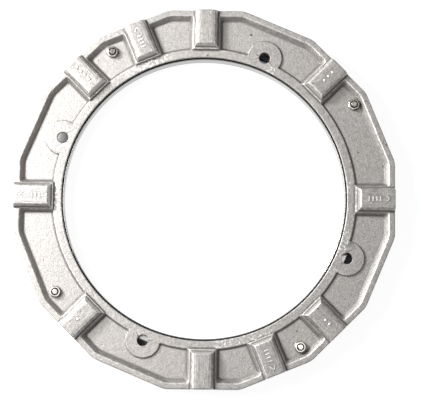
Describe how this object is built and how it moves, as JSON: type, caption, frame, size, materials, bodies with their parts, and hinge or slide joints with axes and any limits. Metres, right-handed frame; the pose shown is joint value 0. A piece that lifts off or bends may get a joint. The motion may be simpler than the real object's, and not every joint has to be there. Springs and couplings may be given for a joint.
{
  "type": "softbox speed ring",
  "caption": "Sixteen-sided die-cast aluminium speed ring with rod sockets around its outline and an inner ring that turns in its bore.",
  "frame": {"origin": "On the axis of the bore, in the plane of the back rim that the ring lies on.", "axes": "+Z along the bore, out of the front (the softbox side); +X through the right-hand strip socket; +Y through the top socket."},
  "size_m": [0.2032, 0.2032, 0.0193],
  "materials": {
    "cast_aluminium": "raw die-cast, fine matt grain",
    "machined_aluminium": "turned, satin",
    "sheet_aluminium": "rolled sheet, satin",
    "nickelled_steel": "bright nickel plate",
    "black_nylon": "matt black"
  },
  "bodies": {
    "housing": {"front_casting": "cast_aluminium", "bearing_band": "black_nylon", "glide_washer": "black_nylon", "hole_plug": "machined_aluminium", "back_plate": "sheet_aluminium", "screw_1": "nickelled_steel", "nut_1": "nickelled_steel", "screw_2": "nickelled_steel", "nut_2": "nickelled_steel", "screw_3": "nickelled_steel", "nut_3": "nickelled_steel", "screw_4": "nickelled_steel", "nut_4": "nickelled_steel"},
    "rotor": {"inner_ring": "machined_aluminium"}
  },
  "joints": [
    {"name": "ring_turn", "type": "hinge", "parent": "housing", "child": "rotor", "pos_m": [0, 0, 0.0044], "axis": [0, 0, 1], "continuous": true}
  ]
}
